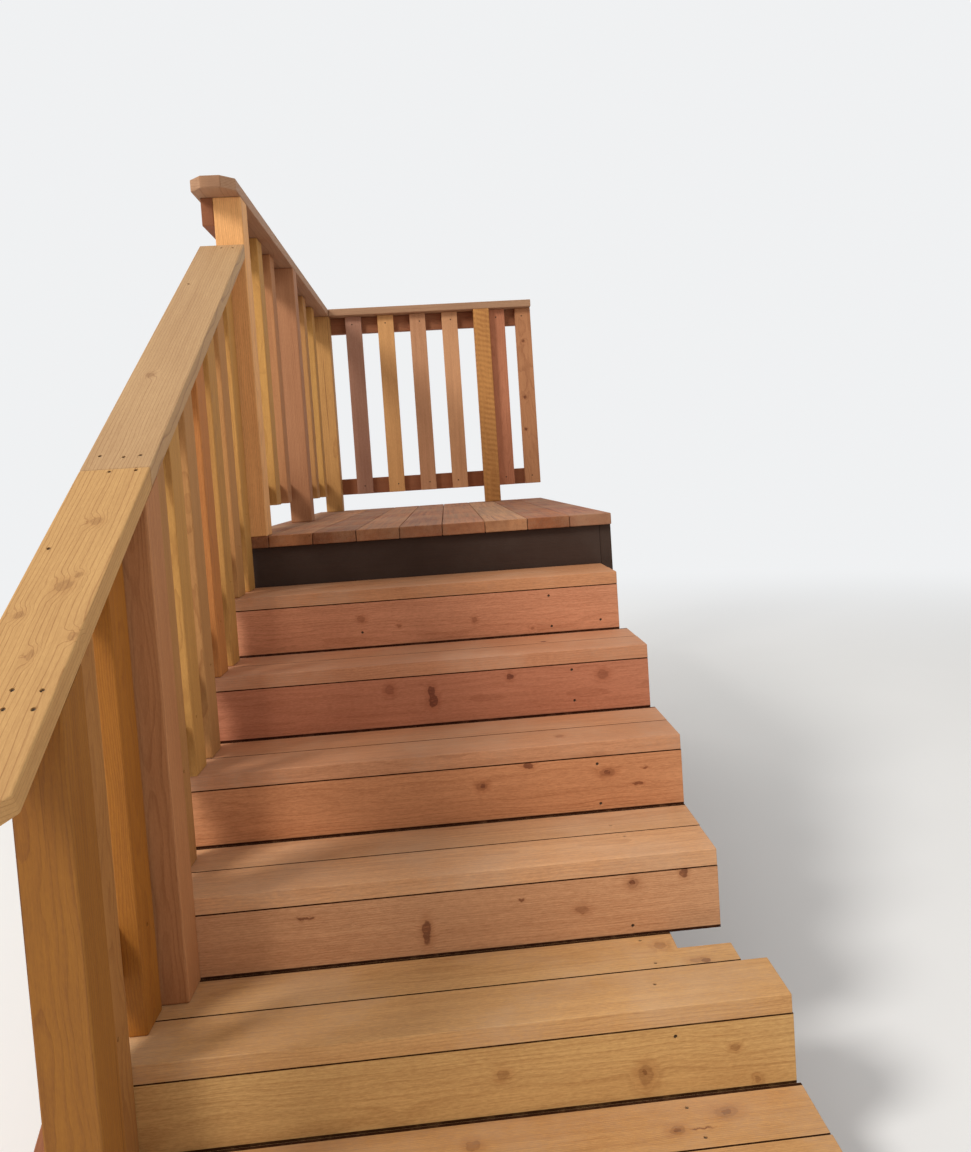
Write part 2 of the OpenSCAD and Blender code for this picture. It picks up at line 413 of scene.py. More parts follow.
class Graph:
    """Short names for the nodes of one material."""

    def __init__(self, name):
        self.material = bpy.data.materials.new(name)
        self.material.use_nodes = True
        self.tree = self.material.node_tree
        self.tree.nodes.clear()
        self.out = self.tree.nodes.new("ShaderNodeOutputMaterial")

    def node(self, kind, **settings):
        made = self.tree.nodes.new(kind)
        for key, value in settings.items():
            setattr(made, key, value)
        return made

    def plug(self, source, socket):
        if isinstance(source, bpy.types.NodeSocket):
            self.tree.links.new(source, socket)
        else:
            socket.default_value = source

    def math(self, operation, a, b=0.0, clamp=False):
        made = self.node("ShaderNodeMath", operation=operation, use_clamp=clamp)
        self.plug(a, made.inputs[0])
        self.plug(b, made.inputs[1])
        return made.outputs[0]

    def mul(self, a, b):
        return self.math("MULTIPLY", a, b)

    def add(self, a, b):
        return self.math("ADD", a, b)

    def around(self, value, amount):
        """A field of 0 to 1 as plus or minus half the amount."""
        return self.mul(self.math("SUBTRACT", value, 0.5), amount)

    def ramp(self, value, from_low, from_high, to_low=0.0, to_high=1.0, smooth=True):
        kind = "SMOOTHSTEP" if smooth else "LINEAR"
        made = self.node("ShaderNodeMapRange", interpolation_type=kind, clamp=True)
        for i, v in enumerate((value, from_low, from_high, to_low, to_high)):
            self.plug(v, made.inputs[i])
        return made.outputs[0]

    def vector(self, operation, a, b=(0.0, 0.0, 0.0)):
        made = self.node("ShaderNodeVectorMath", operation=operation)
        self.plug(a, made.inputs[0])
        self.plug(b, made.inputs[1])
        return made.outputs["Value" if operation == "LENGTH" else "Vector"]

    def noise(self, vector, scale=1.0, detail=2.0, rough=0.5):
        made = self.node("ShaderNodeTexNoise")
        self.plug(vector, made.inputs["Vector"])
        made.inputs["Scale"].default_value = scale
        made.inputs["Detail"].default_value = detail
        made.inputs["Roughness"].default_value = rough
        return made.outputs["Fac"]

    def mix(self, factor, a, b, mode="MIX"):
        made = self.node("ShaderNodeMix", data_type="RGBA", blend_type=mode)
        self.plug(factor, made.inputs[0])
        self.plug(a, made.inputs[6])
        self.plug(b, made.inputs[7])
        return made.outputs[2]

    def split(self, vector):
        made = self.node("ShaderNodeSeparateXYZ")
        self.plug(vector, made.inputs[0])
        return made.outputs[0], made.outputs[1], made.outputs[2]

    def join(self, x, y, z):
        made = self.node("ShaderNodeCombineXYZ")
        for value, socket in zip((x, y, z), made.inputs):
            self.plug(value, socket)
        return made.outputs[0]

    def grain(self, place, scale, detail=2.0, rough=0.5):
        """Noise that is stretched along the log."""
        return self.noise(self.vector("MULTIPLY", place, scale), 1.0, detail, rough)

    def attribute(self, name, output="Vector"):
        return self.node("ShaderNodeAttribute", attribute_name=name).outputs[output]

    def object_place(self):
        return self.node("ShaderNodeTexCoord").outputs["Object"]


# Repeats per metre along, across and through the log
BEND_SCALE = (0.8, 2.5, 2.5)
FLUTTER_SCALE = (6.0, 22.0, 22.0)
FIBRE_SCALE = (13.0, 400.0, 400.0)
FLECK_SCALE = (80.0, 330.0, 330.0)
STREAK_SCALE = (2.2, 70.0, 70.0)
CLOUD_SCALE = (3.0, 9.0, 9.0)
CRACK_SCALE = (1.1, 85.0, 85.0)
SPECKLE_SCALE = (90.0, 700.0, 700.0)
KNOT_CELLS = (4.2, 5.2, 0.8)

# Repeats per metre in any direction
WANDER_SCALE = 75.0
# Clumps of the painted shade and dirt in the joints
SHADE_AND_DIRT_SCALE = 45.0
STAIN_SCALE = 9.0
WEAR_SCALE = 3.6
SPOT_SCALE = 900.0

# Values of a noise between which its effects set in
NOISE_RANGE = (0.3, 0.7)
STAIN_EDGE = (0.35, 0.65)
RAGGED_EDGE = (0.3, 0.55)
CRACK_EDGE = (0.72, 0.76)
WEAR_EDGE = (0.42, 0.64)
SPOT_EDGE = (0.4, 0.65)

# Waves of curly wood, in radians a metre, and how ragged they are
CURL_ALONG = 215.0
CURL_ACROSS = 60.0
CURL_RAGGED = 5.0

# Colours that multiply a board's own tint
PALE_WOOD = (1.14, 1.14, 1.14, 1.0)
DEEP_WOOD = (0.68, 0.56, 0.46, 1.0)
WOOD_ROUND_KNOTS = (0.74, 0.6, 0.5, 1.0)
KNOT_WOOD = (0.56, 0.37, 0.28, 1.0)
KNOT_HEART = (0.26, 0.15, 0.11, 1.0)
END_PALE = (0.95, 0.84, 0.72, 1.0)
END_DARK = (0.6, 0.48, 0.38, 1.0)
END_STAIN = (0.4, 0.3, 0.24, 1.0)

# Distances from a knot's middle, in knot sizes, between which it and its effects fade
KNOT_EDGE = (1.15, 0.8)
KNOT_HALO = (2.4, 0.8)
KNOT_REACH = (3.2, 0.5)
KNOT_RIM = 0.85
RIM_WIDTH = 0.3

# How far the outline of a knot wanders
KNOT_WANDER = (0.014, 0.014, 0.014)

# Small knots: how far they stray from the middle of their cell, their least size and how
# much larger they can be, in cells, and what the distance grows by where there is none
KNOT_STRAY = 0.9
KNOT_SIZE = 0.02
KNOT_SIZE_PLAY = 0.03
NO_KNOT = 100.0

# Where in a year the dark wood ends, and how fast the strength changes over the years
YEAR_END = (1.0, 0.95)
YEARS_SCALE = 0.6

# How much darker the grain's features make the wood. The years differ in strength.
YEAR_SHADE = (0.4, 1.4)
PLAIN_SHADE = 0.28
CLOUD_SHADE = 0.55
FLECK_SHADE = 1.2
CURL_SHADE = 130.0

# Painted shade and dirt in the joints and inner corners of the steps: its colour, how well it
# covers and how unevenly, and the distances in half widths between which it fades
SHADE_AND_DIRT = rgb(40, 13, 6)
SHADE_AND_DIRT_COVER = 0.96
SHADE_AND_DIRT_LEAST = 0.75
SHADE_AND_DIRT_PLAY = 0.5
SHADE_AND_DIRT_EDGE = (1.0, 0.85)

# How well stains cover the sawn ends, and how much of the grain shows through there
END_STAIN_COVER = 0.6
END_PATTERN = 0.35

# How much the patches and the flecks of the grain each say where foot dust lies
WEAR_MIX = (0.7, 0.3)

# Surface of the wood
SHEEN = 0.3
RELIEF_DEPTH = 0.0008
FIBRE_RELIEF = 0.6
OTHER_RELIEF = 0.4

# Steel of the screws
STEEL = rgb(52, 44, 36)
STEEL_SPOTS = rgb(104, 84, 60)
STEEL_ROUGH = (0.45, 0.75)
STEEL_METALLIC = 0.6


def random_knots(g, place, share):
    """Small knots in some cells of a coarse grid, as distances counted in knot sizes."""
    cells = g.node("ShaderNodeTexVoronoi", feature="F1", voronoi_dimensions="3D")
    g.plug(g.vector("MULTIPLY", place, KNOT_CELLS), cells.inputs["Vector"])
    cells.inputs["Scale"].default_value = 1.0
    cells.inputs["Randomness"].default_value = KNOT_STRAY
    chance, play = g.split(cells.outputs["Color"])[:2]
    absent = g.math("GREATER_THAN", chance, share)
    size = g.add(g.mul(play, KNOT_SIZE_PLAY), KNOT_SIZE)
    distance = g.math("DIVIDE", cells.outputs["Distance"], size)
    return g.add(distance, g.mul(absent, NO_KNOT))


def seen_knots(g, places):
    """The same distances for knots at known places, each (centre, half sizes, darkness)."""
    wobble = g.node("ShaderNodeTexNoise")
    g.plug(g.object_place(), wobble.inputs["Vector"])
    wobble.inputs["Scale"].default_value = WANDER_SCALE
    shaken = g.vector("SUBTRACT", wobble.outputs["Color"], (0.5, 0.5, 0.5))
    ground = g.vector("ADD", g.object_place(), g.vector("MULTIPLY", shaken, KNOT_WANDER))
    nearest = None
    for centre, half, _ in places:
        scale = tuple(1 / h if h else 0.0 for h in half)
        offset = g.vector("MULTIPLY", g.vector("SUBTRACT", ground, tuple(centre)), scale)
        distance = g.vector("LENGTH", offset)
        nearest = distance if nearest is None else g.math("MINIMUM", nearest, distance)
    return nearest


def shade_and_dirt_lines(g, lines):
    """Painted shade and dirt along joints. Each line is (axis, centre, period, half width)."""
    shade_and_dirt = 0.0
    clumps = g.noise(g.object_place(), SHADE_AND_DIRT_SCALE, 3.0)
    uneven = g.add(g.mul(clumps, SHADE_AND_DIRT_PLAY), SHADE_AND_DIRT_LEAST)
    for axis, centre, period, half in lines:
        turns = g.math("DIVIDE", g.math("SUBTRACT", g.split(g.object_place())[axis], centre), period)
        nearest = g.math("ABSOLUTE", g.math("SUBTRACT", turns, g.math("ROUND", turns)))
        away = g.math("DIVIDE", g.mul(nearest, period), half)
        line = g.math("MULTIPLY", g.ramp(away, *SHADE_AND_DIRT_EDGE), uneven, clamp=True)
        shade_and_dirt = g.math("MAXIMUM", shade_and_dirt, line)
    return shade_and_dirt


def knots(g, place, share, depth, seen):
    """How far each point lies from a knot, in knot sizes, and how dark the knot is there."""
    distance = random_knots(g, place, share)
    core = g.mul(g.ramp(distance, *KNOT_EDGE), depth)
    for darkness in sorted({knot[2] for knot in seen}):
        there = seen_knots(g, [knot for knot in seen if knot[2] == darkness])
        core = g.math("MAXIMUM", core, g.mul(g.ramp(there, *KNOT_EDGE), darkness))
        distance = g.math("MINIMUM", distance, there)
    return distance, core


def log_radius(g, place, near_knot, bend_by, flutter_by, swirl_by, curl):
    """Distance from the log's heart, bent along the log, ragged close up and pushed aside by knots.

    With it comes the ripple of curly wood, which moves the rings back and forth by the curl.
    """
    bend = g.node("ShaderNodeTexNoise")
    g.plug(g.vector("MULTIPLY", place, BEND_SCALE), bend.inputs["Vector"])
    bend.inputs["Detail"].default_value = 1.0
    centred = g.vector("SUBTRACT", bend.outputs["Color"], (0.5, 0.5, 0.5))
    shift = g.vector("MULTIPLY", centred, (0.0, bend_by, bend_by))
    x, y, z = g.split(g.vector("ADD", place, shift))
    flutter = g.grain(place, FLUTTER_SCALE, 3.0, 0.6)
    radius = g.math("SQRT", g.add(g.mul(y, y), g.mul(z, z)))
    radius = g.add(radius, g.around(flutter, flutter_by))
    radius = g.add(radius, g.mul(near_knot, swirl_by))
    if not curl:
        return radius, 0.0
    slanting = g.add(g.mul(x, CURL_ALONG), g.mul(y, CURL_ACROSS))
    ripple = g.math("SINE", g.add(slanting, g.mul(flutter, CURL_RAGGED)))
    return g.add(radius, g.mul(ripple, curl)), ripple


def with_knots(g, pattern, distance, core, fleck, halo):
    """A knot is dark with a darker, ragged rim, in wood that is darker and redder round it."""
    redder = g.mix(1.0, pattern, WOOD_ROUND_KNOTS, "MULTIPLY")
    pattern = g.mix(g.mul(g.ramp(distance, *KNOT_HALO), halo), pattern, redder)
    from_rim = g.math("ABSOLUTE", g.math("SUBTRACT", distance, KNOT_RIM))
    rim = g.ramp(from_rim, RIM_WIDTH, 0.0)
    dark = g.math("MAXIMUM", rim, g.ramp(fleck, *RAGGED_EDGE))
    return g.mix(core, pattern, g.mix(dark, KNOT_WOOD, KNOT_HEART))


def with_sawn_ends(g, place, pattern):
    """Sawn ends take up more dirt and show short fibres."""
    speckle = g.grain(place, SPECKLE_SCALE)
    stain = g.noise(g.object_place(), STAIN_SCALE, 2.0)
    look = g.mix(g.ramp(speckle, *NOISE_RANGE), END_PALE, END_DARK)
    look = g.mix(g.ramp(stain, *STAIN_EDGE, 0.0, END_STAIN_COVER), look, END_STAIN)
    look = g.mix(END_PATTERN, look, pattern)
    return g.mix(g.attribute("end_grain", "Fac"), pattern, look)


def wood(
    name,
    ring=0.0042,
    late=(0.45, 0.93),
    ring_strength=0.3,
    ring_bend=0.03,
    ring_flutter=0.007,
    fibre_strength=0.7,
    streak_strength=0.6,
    knot_share=0.1,
    knots_at=(),
    knot_depth=1.0,
    knot_swirl=0.004,
    halo=0.5,
    deep=DEEP_WOOD,
    rough=(0.6, 0.8),
    wear=0.0,
    worn_colour=(206, 176, 148),
    curl=0.0,
    checks=0.0,
    joints=(),
    bump=0.5,
):
    """Sawn softwood in each board's own tint."""
    g = Graph(name)
    place = g.attribute("wood_place")
    knot_distance, core = knots(g, place, knot_share, knot_depth, knots_at)
    near_knot = g.ramp(knot_distance, *KNOT_REACH)
    radius, ripple = log_radius(g, place, near_knot, ring_bend, ring_flutter, knot_swirl, curl)

    # Growth rings, strong in some years and weak in others
    turns = g.math("DIVIDE", radius, ring)
    year = g.math("FRACT", turns)
    dark_wood = g.mul(g.ramp(year, *late), g.ramp(year, *YEAR_END))
    strong_years = g.noise(g.join(turns, 0.0, 0.0), YEARS_SCALE)
    strength = g.mul(g.ramp(strong_years, *NOISE_RANGE, *YEAR_SHADE), ring_strength)
    shade = g.mul(dark_wood, strength)

    # Fibres, flecks, streaks and clouds along the grain
    fibre = g.grain(place, FIBRE_SCALE, 4.0, 0.7)
    fleck = g.grain(place, FLECK_SCALE, 3.0, 0.7)
    streak = g.grain(place, STREAK_SCALE)
    cloud = g.grain(place, CLOUD_SCALE, 4.0, 0.6)
    shade = g.add(shade, g.around(fibre, fibre_strength))
    shade = g.add(shade, g.around(fleck, fibre_strength * FLECK_SHADE))
    shade = g.add(shade, g.around(streak, streak_strength))
    shade = g.add(shade, g.around(cloud, CLOUD_SHADE))
    if curl:
        shade = g.add(shade, g.mul(ripple, CURL_SHADE * curl))
    shade = g.math("ADD", shade, PLAIN_SHADE, clamp=True)
    pattern = with_knots(g, g.mix(shade, PALE_WOOD, deep), knot_distance, core, fleck, halo)

    # Thin cracks along the grain from drying
    if checks:
        crack = g.grain(place, CRACK_SCALE, 1.0)
        pattern = g.mix(g.ramp(crack, *CRACK_EDGE, 0.0, checks), pattern, KNOT_HEART)
    pattern = with_sawn_ends(g, place, pattern)
    colour = g.mix(1.0, g.attribute("board_tint", "Color"), pattern, "MULTIPLY")

    # Foot dust in patches, and painted shade with dirt in the joints
    if wear:
        patches = g.noise(g.object_place(), WEAR_SCALE, 5.0, 0.65)
        worn = g.add(g.mul(patches, WEAR_MIX[0]), g.mul(fleck, WEAR_MIX[1]))
        colour = g.mix(g.ramp(worn, *WEAR_EDGE, 0.0, wear), colour, rgb(*worn_colour))
    shade_and_dirt = g.mul(shade_and_dirt_lines(g, joints), SHADE_AND_DIRT_COVER)
    colour = g.mix(shade_and_dirt, colour, SHADE_AND_DIRT)

    shader = g.node("ShaderNodeBsdfPrincipled")
    g.plug(colour, shader.inputs["Base Color"])
    g.plug(g.ramp(shade, 0.0, 1.0, rough[1], rough[0], False), shader.inputs["Roughness"])
    # Less sheen where the shade and dirt are painted
    g.plug(g.mul(g.math("SUBTRACT", 1.0, shade_and_dirt), SHEEN), shader.inputs["Specular IOR Level"])
    height = g.add(g.mul(fibre, FIBRE_RELIEF), g.mul(dark_wood, OTHER_RELIEF))
    height = g.add(height, g.add(g.mul(fleck, OTHER_RELIEF), g.mul(core, OTHER_RELIEF)))
    relief = g.node("ShaderNodeBump")
    relief.inputs["Strength"].default_value = bump
    relief.inputs["Distance"].default_value = RELIEF_DEPTH
    g.plug(height, relief.inputs["Height"])
    g.plug(relief.outputs[0], shader.inputs["Normal"])
    g.plug(shader.outputs[0], g.out.inputs[0])
    return g.material


def screw_steel():
    g = Graph("screw_steel")
    spots = g.noise(g.object_place(), SPOT_SCALE, 3.0)
    colour = g.mix(g.ramp(spots, *SPOT_EDGE), STEEL, STEEL_SPOTS)
    shader = g.node("ShaderNodeBsdfPrincipled")
    g.plug(colour, shader.inputs["Base Color"])
    g.plug(g.ramp(spots, *NOISE_RANGE, *STEEL_ROUGH), shader.inputs["Roughness"])
    shader.inputs["Metallic"].default_value = STEEL_METALLIC
    g.plug(shader.outputs[0], g.out.inputs[0])
    return g.material


def cap_top(x, y):
    """The place on the stair cap's upper face over a point of the plan."""
    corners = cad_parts["stair_cap"].data.vertices
    face = max((v.co - ORIGIN).dot(OFF_SLOPE) for v in corners)
    return at(x, y, (face - y * OFF_SLOPE.y) / OFF_SLOPE.z)


# How dark the knots are
PALE = 0.35
DARK = 0.8


def riser_knot(k, x, below_top, half_x, half_z, darkness=DARK):
    return at(x, (k - STEPS) * GOING, k * RISE - below_top), (half_x, 0.0, half_z), darkness


def tread_knot(k, x, from_front, half_x, half_y, darkness=DARK):
    return at(x, (k - STEPS) * GOING + from_front, k * RISE), (half_x, half_y, 0.0), darkness


# Knots that the photograph shows, counted in metres from the posts and from the step's
# upper or front edge, each with its half sizes
RISER_KNOTS = (
    riser_knot(6, 0.651, 0.116, 0.008, 0.009, PALE),
    riser_knot(6, 0.421, 0.117, 0.006, 0.006, PALE),
    riser_knot(6, 0.308, 0.088, 0.012, 0.010, PALE),
    riser_knot(6, 0.827, 0.157, 0.006, 0.005, PALE),
    riser_knot(5, 0.513, 0.083, 0.010, 0.014),
    riser_knot(5, 0.516, 0.110, 0.012, 0.020),
    riser_knot(5, 0.400, 0.071, 0.012, 0.014, PALE),
    riser_knot(5, 0.731, 0.060, 0.010, 0.009),
    riser_knot(5, 0.992, 0.074, 0.016, 0.013, PALE),
    riser_knot(4, 0.629, 0.088, 0.014, 0.011, PALE),
    riser_knot(4, 0.632, 0.087, 0.006, 0.005),
    riser_knot(4, 0.943, 0.080, 0.020, 0.010, PALE),
    riser_knot(4, 0.943, 0.080, 0.009, 0.006),
    riser_knot(4, 0.748, 0.045, 0.013, 0.008),
    riser_knot(4, 1.042, 0.076, 0.008, 0.0022),
    riser_knot(4, 1.020, 0.115, 0.013, 0.0035),
    riser_knot(3, 0.484, 0.124, 0.010, 0.026),
    riser_knot(3, 0.940, 0.059, 0.007, 0.007, 0.95),
    riser_knot(3, 0.943, 0.060, 0.014, 0.012, PALE),
    riser_knot(3, 1.058, 0.046, 0.009, 0.013),
    riser_knot(3, 0.695, 0.072, 0.005, 0.003),
    riser_knot(3, 0.827, 0.108, 0.014, 0.008, PALE),
    riser_knot(3, 0.228, 0.067, 0.020, 0.003),
    riser_knot(2, 0.896, 0.128, 0.015, 0.020, PALE),
    riser_knot(2, 0.894, 0.123, 0.005, 0.006),
    riser_knot(2, 0.623, 0.096, 0.013, 0.010, PALE),
    riser_knot(2, 1.073, 0.093, 0.010, 0.007, PALE),
    riser_knot(2, 1.115, 0.161, 0.007, 0.006, PALE),
)
TREAD_KNOTS = (
    tread_knot(1, 1.034, 0.227, 0.022, 0.015, PALE),
    tread_knot(1, 1.034, 0.227, 0.010, 0.008),
    tread_knot(1, 0.933, 0.194, 0.016, 0.012, PALE),
    tread_knot(1, 0.933, 0.194, 0.008, 0.007),
    tread_knot(1, 0.978, 0.192, 0.020, 0.0018),
    tread_knot(1, 0.559, 0.216, 0.014, 0.013, PALE),
    tread_knot(2, 1.064, 0.152, 0.010, 0.008),
    tread_knot(2, 1.050, 0.156, 0.020, 0.009, PALE),
    tread_knot(2, 0.985, 0.230, 0.013, 0.014, PALE),
    tread_knot(4, 0.838, 0.074, 0.010, 0.010, PALE),
)

SWIRL_DARKNESS = 0.3


def cap_swirl(x, y, across, along):
    """A faint knot in the stair cap, which turns the grain round it."""
    return cap_top(x, y), (across, along, along), SWIRL_DARKNESS


CAP_SWIRLS = (
    cap_swirl(-0.060, -1.212, 0.0140, 0.0168),
    cap_swirl(-0.057, -1.052, 0.0105, 0.0126),
    cap_swirl(-0.111, -1.272, 0.0091, 0.0105),
    cap_swirl(-0.043, -1.190, 0.0063, 0.0084),
    cap_swirl(-0.063, -1.357, 0.0063, 0.0126),
    cap_swirl(-0.010, -1.324, 0.0084, 0.0098),
    cap_swirl(-0.094, -0.532, 0.0098, 0.0126),
)

# A half size of zero lets a knot reach through every baluster in that direction
BACK_PLANE = low("back_balusters_set").y - ORIGIN.y
BALUSTER_KNOTS = (
    (at(0.0, -1.217, 0.766), (0.0, 0.008, 0.012), 0.9),
    (at(0.0, -0.318, 1.192), (0.0, 0.008, 0.008), 0.9),
    (at(1.085, BACK_PLANE, 2.144), (0.009, 0.0, 0.008), 0.7),
    (at(1.076, BACK_PLANE, 1.825), (0.009, 0.0, 0.009), 0.8),
    (at(1.07, BACK_PLANE, 1.642), (0.008, 0.0, 0.008), 0.9),
)

# Joints and inner corners of the steps, with painted shade and dirt, as (axis, centre, period, half
# width)
SHADE_AND_DIRT_WIDTH = 0.004
UNDER_NOSING = RISE - BOARD
RISER_JOINTS = (
    (2, SHADE_AND_DIRT_WIDTH / 2, RISE, SHADE_AND_DIRT_WIDTH),
    (2, UNDER_NOSING, RISE, 0.5 * SHADE_AND_DIRT_WIDTH),
)
FRONT_BOARD, REAR_BOARD = solids_of("tread_6")
TREAD_JOINT = (max(v.co.y for v in FRONT_BOARD.verts) + min(v.co.y for v in REAR_BOARD.verts)) / 2
TREAD_JOINTS = (
    (1, ORIGIN.y - SHADE_AND_DIRT_WIDTH, GOING, SHADE_AND_DIRT_WIDTH),
    (1, TREAD_JOINT, GOING, 0.6 * SHADE_AND_DIRT_WIDTH),
    (2, UNDER_NOSING, RISE, 0.35 * SHADE_AND_DIRT_WIDTH),
)

SCREW_STEEL = screw_steel()
STEP_GRAIN = dict(
    ring_strength=0.22,
    ring_bend=0.014,
    ring_flutter=0.0035,
    fibre_strength=1.1,
    knot_share=0.03,
)
TREAD_WOOD = wood("tread_wood", knots_at=TREAD_KNOTS, wear=0.28, joints=TREAD_JOINTS, **STEP_GRAIN)
RISER_WOOD = wood("riser_wood", knots_at=RISER_KNOTS, joints=RISER_JOINTS, **STEP_GRAIN)
DECK_WOOD = wood(
    "deck_wood",
    fibre_strength=1.3,
    streak_strength=2.2,
    deep=(0.5, 0.4, 0.34, 1.0),
    rough=(0.72, 0.9),
    wear=0.45,
    worn_colour=(180, 146, 112),
    checks=0.8,
    bump=0.8,
)
RIM_WOOD = wood(
    "rim_wood",
    fibre_strength=0.8,
    rough=(0.78, 0.92),
    wear=0.35,
    worn_colour=(78, 64, 55),
    bump=0.8,
)
FRAME_WOOD = wood("frame_wood", knot_share=0.2)
POST_WOOD = wood("post_wood", ring=0.006, checks=0.6)
CURLY_WOOD = wood("curly_wood", ring=0.008, curl=0.0014, ring_strength=0.25, late=(0.3, 0.9))
RAIL_WOOD = wood("rail_wood")
PICKET_WOOD = wood("picket_wood", knots_at=BALUSTER_KNOTS, knot_share=0.06)
CAP_WOOD = wood(
    "cap_wood",
    ring=0.0075,
    late=(0.74, 0.94),
    ring_strength=0.6,
    ring_bend=0.018,
    ring_flutter=0.004,
    fibre_strength=0.6,
    knots_at=CAP_SWIRLS,
    knot_depth=SWIRL_DARKNESS,
    knot_swirl=0.011,
    halo=0.22,
)

# Colours of the boards, as they show in daylight


def boards(*colours, spread=0.06):
    """Colours taken in turn, each a little lighter or darker than written."""

    def pick(number, rng):
        lighter = 1 + rng.uniform(-spread, spread)
        warmer = 1 + rng.uniform(-spread, spread) / 3
        r, g, b, _ = rgb(*colours[number % len(colours)])
        return (r * lighter * warmer, g * lighter, b * lighter / warmer)

    return pick


TREAD_COLOURS = {
    1: (196, 148, 94),
    2: (202, 156, 102),
    3: (204, 154, 110),
    4: (198, 140, 100),
    5: (196, 136, 98),
    6: (190, 134, 93),
}
RISER_COLOURS = {
    1: (198, 152, 96),
    2: (206, 162, 102),
    3: (200, 150, 109),
    4: (194, 133, 90),
    5: (176, 114, 84),
    6: (192, 132, 98),
}
DECK_COLOURS = (
    (150, 98, 64),
    (174, 118, 78),
    (144, 90, 58),
    (166, 110, 74),
    (160, 104, 72),
    (176, 118, 82),
    (190, 138, 98),
    (158, 98, 62),
    (164, 108, 80),
)
TAN = (174, 126, 74)
GOLD = (184, 136, 72)
ORANGE = (178, 116, 60)
BROWN = (143, 93, 33)
ROSE = (174, 121, 78)

# Screws that the photograph shows in the steps, counted in metres from the posts and,
# in a riser, down from the tread on it or, in a tread, back from its front edge
SEEN_RISER_SCREWS = {
    6: ((0.882, 0.060), (1.039, 0.146), (0.886, 0.155), (0.309, 0.130)),
    5: ((0.905, 0.055), (0.908, 0.142)),
    4: ((0.920, 0.057), (0.923, 0.158)),
    3: ((0.937, 0.156),),
    2: ((0.958, 0.059),),
    1: ((0.960, 0.060), (0.985, 0.145)),
}
SEEN_TREAD_SCREWS = {
    3: ((0.930, 0.189), (0.950, 0.116)),
    2: ((0.959, 0.162), (0.947, 0.260), (0.940, 0.084)),
    1: ((0.965, 0.251), (0.978, 0.169)),
}


def jitter(rng, play=SCREW_PLAY):
    return rng.uniform(-play, play)


def reach_of(solid, axis):
    places = [v.co[axis] for v in solid.verts]
    return min(places), max(places)


def riser_screws(k):
    def screws(solid, rng):
        face = reach_of(solid, 1)[0]
        return [
            (Vector((ORIGIN.x + x, face, k * RISE - below)), FRONT)
            for x, below in SEEN_RISER_SCREWS[k]
        ]

    return screws


def tread_screws(k):
    def screws(solid, rng):
        near, far = reach_of(solid, 1)
        top = reach_of(solid, 2)[1]
        found = []
        for x, from_front in SEEN_TREAD_SCREWS.get(k, ()):
            y = ORIGIN.y + (k - STEPS) * GOING + from_front
            if near < y < far:
                found.append((Vector((ORIGIN.x + x, y, top)), UP))
        return found

    return screws


def deck_screws(solid, rng):
    """Two screws in the top of a deck board over each joist or rim that carries it."""
    left, right = reach_of(solid, 0)
    start, stop = reach_of(solid, 1)
    top = reach_of(solid, 2)[1]
    found = []
    for line in JOIST_LINES:
        if start < line < stop:
            for x in (left + SCREW_EDGE, right - SCREW_EDGE):
                y = min(max(line + jitter(rng), start + SCREW_EDGE), stop - SCREW_EDGE)
                found.append((Vector((x + jitter(rng), y, top)), UP))
    return found


def face_screws(spots, outward):
    """Screws at (x, y, z) spots, kept where they lie on this board's outward face."""
    axis = max(range(3), key=lambda i: abs(outward[i]))
    in_plane = [i for i in range(3) if i != axis]

    def screws(solid, rng):
        face = reach_of(solid, axis)[1 if outward[axis] > 0 else 0]
        found = []
        for spot in spots:
            place = Vector(spot)
            place[axis] = face
            inside = all(
                reach_of(solid, i)[0] + HOLE_RADIUS < place[i] < reach_of(solid, i)[1] - HOLE_RADIUS
                for i in in_plane
            )
            if inside:
                for i in in_plane:
                    place[i] += jitter(rng, SCREW_PLAY / 2)
                found.append((place, outward))
        return found

    return screws


def baluster_screws(heights, outward):
    """One screw through a baluster at each rail, whose height depends on how far along it stands."""
    axis = max(range(3), key=lambda i: abs(outward[i]))

    def screws(solid, rng):
        place = centre_of(solid)
        place[axis] = reach_of(solid, axis)[1 if outward[axis] > 0 else 0]
        found = []
        for height in heights:
            spot = place.copy()
            spot.z = height(place.y)
            spot[1 - axis] += jitter(rng, BALUSTER_SCREW_PLAY)
            found.append((spot, outward))
        return found

    return screws


def rail_line(node):
    """Height of a rail's middle at any place along the stairs or the landing."""
    start, stop = low(node), high(node)
    drop = (stop.y - start.y) * RISE / GOING
    plumb = stop.z - start.z - drop
    return lambda y: start.z + plumb / 2 + (y - start.y) * RISE / GOING


def level_line(node):
    return lambda y: middle(node).z


SLOPING_RAILS = [rail_line("stair_top_rail"), rail_line("stair_bottom_rail")]
LANDING_RAILS = [level_line("landing_top_rail"), level_line("landing_bottom_rail")]
BACK_RAILS = [level_line("back_top_rail"), level_line("back_bottom_rail")]
LEVEL_POSTS = [middle(n) for n in ("corner_post", "landing_mid_post", "back_corner_post")]
SLOPE_POSTS = [middle(n) for n in ("stair_post_lower", "stair_post_upper", "corner_post")]

# Screws that the photograph shows in the stair cap, counted from the posts and the top step
SEEN_CAP_SCREWS = (
    (-0.065, -1.420),
    (-0.020, -1.425),
    (-0.065, -1.453),
    (-0.021, -1.457),
    (-0.120, -1.118),
    (-0.113, -0.848),
    (-0.063, -0.856),
    (-0.030, -0.853),
    (-0.078, -0.903),
    (-0.026, -0.903),
    (-0.112, -0.026),
    (-0.067, 0.235),
    (-0.032, 0.232),
)


